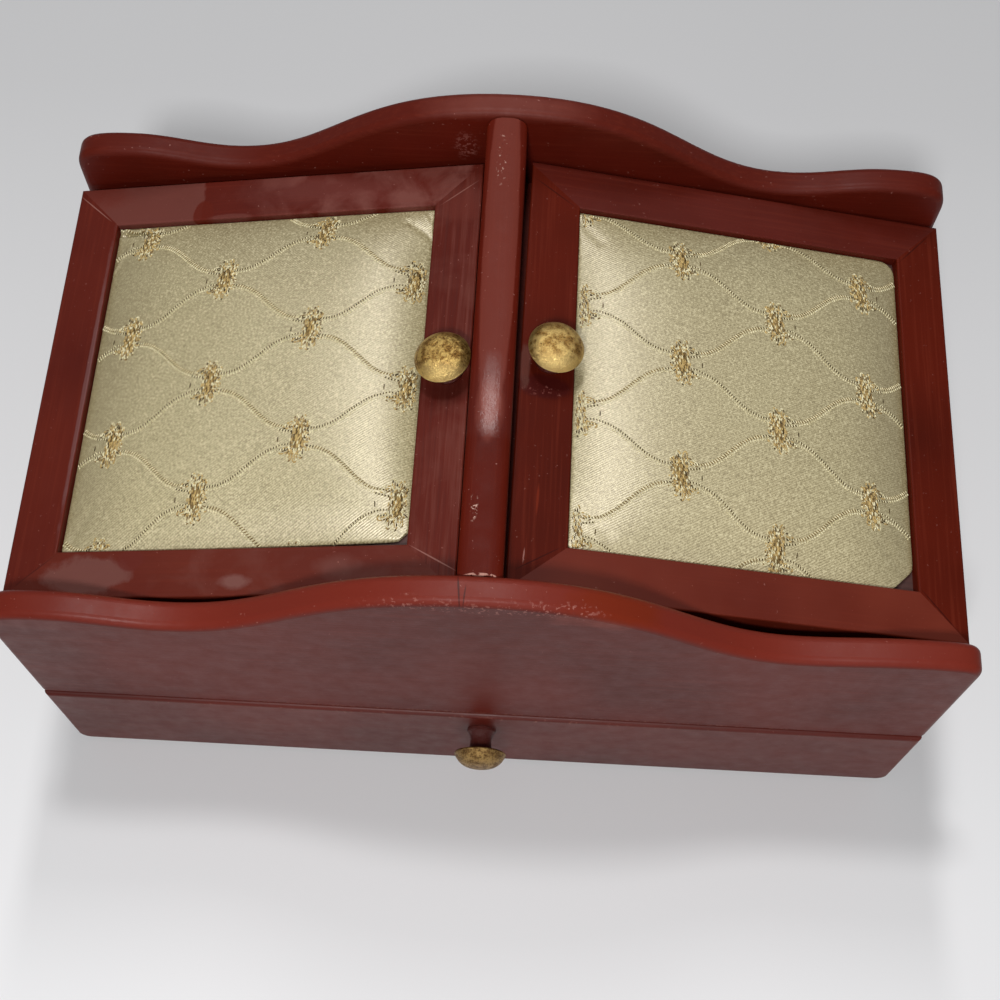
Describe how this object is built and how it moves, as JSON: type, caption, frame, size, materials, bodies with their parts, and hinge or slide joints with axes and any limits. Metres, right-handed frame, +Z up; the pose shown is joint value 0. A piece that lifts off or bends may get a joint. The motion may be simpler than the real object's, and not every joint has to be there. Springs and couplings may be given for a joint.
{
  "type": "sewing box",
  "caption": "Wooden sewing box with waved boards, a drawer and sloping padded lids that open outwards on each side of a divider.",
  "frame": {"origin": "middle of the case's foot, on the surface it stands on", "axes": "+X along the box's length, to the right lid; -Y out of the drawer's front; +Z up"},
  "size_m": [0.311, 0.1968, 0.162],
  "materials": {
    "red_paint": "red-brown satin paint on wood",
    "gold_paint": "gold paint on turned wood",
    "brocade": "satin brocade over foam",
    "plywood": "bare plywood",
    "brass": "polished",
    "steel": "zinc plated"
  },
  "bodies": {
    "case": {"back_board": "red_paint", "base_panel": "red_paint", "centre_divider": "red_paint", "compartment_floor": "red_paint", "front_board": "red_paint", "left_back_hinge_box_leaf": "brass", "left_back_hinge_pin": "brass", "left_front_hinge_box_leaf": "brass", "left_front_hinge_pin": "brass", "left_hinge_box_screws": "steel", "left_lid_rest": "red_paint", "left_side_panel": "red_paint", "right_back_hinge_box_leaf": "brass", "right_back_hinge_pin": "brass", "right_front_hinge_box_leaf": "brass", "right_front_hinge_pin": "brass", "right_hinge_box_screws": "steel", "right_lid_rest": "red_paint", "right_side_panel": "red_paint"},
    "left_lid": {"left_lid_back_rail": "red_paint", "left_lid_front_rail": "red_paint", "left_lid_inner_stile": "red_paint", "left_lid_knob": "gold_paint", "left_lid_knob_screw": "steel", "left_lid_outer_stile": "red_paint", "left_lid_pad": "brocade", "left_lid_panel": "plywood", "left_back_hinge_lid_leaf": "brass", "left_front_hinge_lid_leaf": "brass", "left_hinge_lid_screws": "steel"},
    "right_lid": {"right_lid_back_rail": "red_paint", "right_lid_front_rail": "red_paint", "right_lid_inner_stile": "red_paint", "right_lid_knob": "gold_paint", "right_lid_knob_screw": "steel", "right_lid_outer_stile": "red_paint", "right_lid_pad": "brocade", "right_lid_panel": "plywood", "right_back_hinge_lid_leaf": "brass", "right_front_hinge_lid_leaf": "brass", "right_hinge_lid_screws": "steel"},
    "drawer": {"drawer_back": "red_paint", "drawer_bottom": "plywood", "drawer_front": "red_paint", "drawer_knob": "gold_paint", "drawer_knob_screw": "steel", "drawer_left_side": "red_paint", "drawer_right_side": "red_paint"}
  },
  "joints": [
    {"name": "left_lid_hinge", "type": "hinge", "parent": "case", "child": "left_lid", "pos_m": [-0.1536, 0, 0.10161], "axis": [0, -1, 0], "range_deg": [0, 190]},
    {"name": "right_lid_hinge", "type": "hinge", "parent": "case", "child": "right_lid", "pos_m": [0.1536, 0, 0.10161], "axis": [0, 1, 0], "range_deg": [0, 190]},
    {"name": "drawer_slide", "type": "slide", "parent": "case", "child": "drawer", "axis": [0, -1, 0], "range_m": [0, 0.115]}
  ]
}
